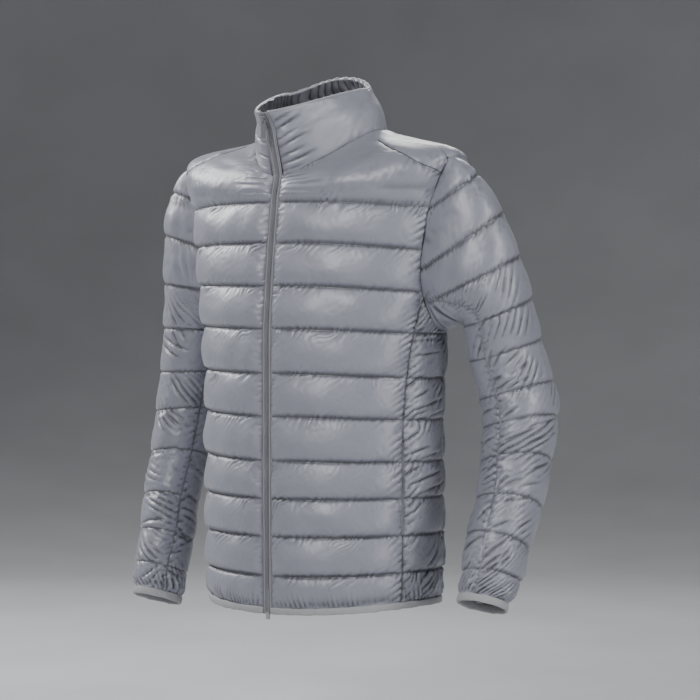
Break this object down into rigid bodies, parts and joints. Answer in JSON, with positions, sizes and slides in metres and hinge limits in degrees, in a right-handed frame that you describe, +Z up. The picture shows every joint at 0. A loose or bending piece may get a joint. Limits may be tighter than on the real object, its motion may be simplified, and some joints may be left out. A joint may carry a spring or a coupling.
{
  "type": "puffer jacket",
  "caption": "Hollow quilted puffer jacket with stand collar, full front zip, seam pockets, elastic hem and cuffs, filled out as if worn with its arms slightly forward.",
  "frame": {"origin": "Inside the neck at the height of the shoulders, on the jacket's middle plane, where the wearer holds it up.", "axes": "+Z up, -Y the way the front faces, +X the wearer's left."},
  "size_m": [0.7063, 0.2926, 0.7779],
  "materials": {
    "cloth": "satin nylon",
    "cloth_inside": "satin nylon",
    "binding": "ribbed elastic",
    "zip_tape": "woven tape",
    "zip_chain": "nylon coil",
    "zip_metal": "satin"
  },
  "bodies": {
    "jacket": {"front_left": "cloth", "front_right": "cloth", "side_left": "cloth", "side_right": "cloth", "back": "cloth", "sleeve_left_top": "cloth", "sleeve_left_under": "cloth", "sleeve_right_top": "cloth", "sleeve_right_under": "cloth", "collar": "cloth", "collar_inner": "cloth_inside", "zip_tape_left": "zip_tape", "zip_tape_right": "zip_tape", "zip_chain": "zip_chain", "zip_slider": "zip_metal", "zip_box": "zip_metal", "hem_binding": "binding", "cuff_binding_left": "binding", "cuff_binding_right": "binding", "pocket_zip_left": "zip_tape", "pocket_zip_right": "zip_tape"},
    "pull": {"zip_pull": "zip_metal"}
  },
  "joints": [
    {"name": "pull_hinge", "type": "hinge", "parent": "jacket", "child": "pull", "pos_m": [0, -0.14381, 0.03859], "axis": [1, 0, 0], "range_deg": [-110, 15]}
  ]
}
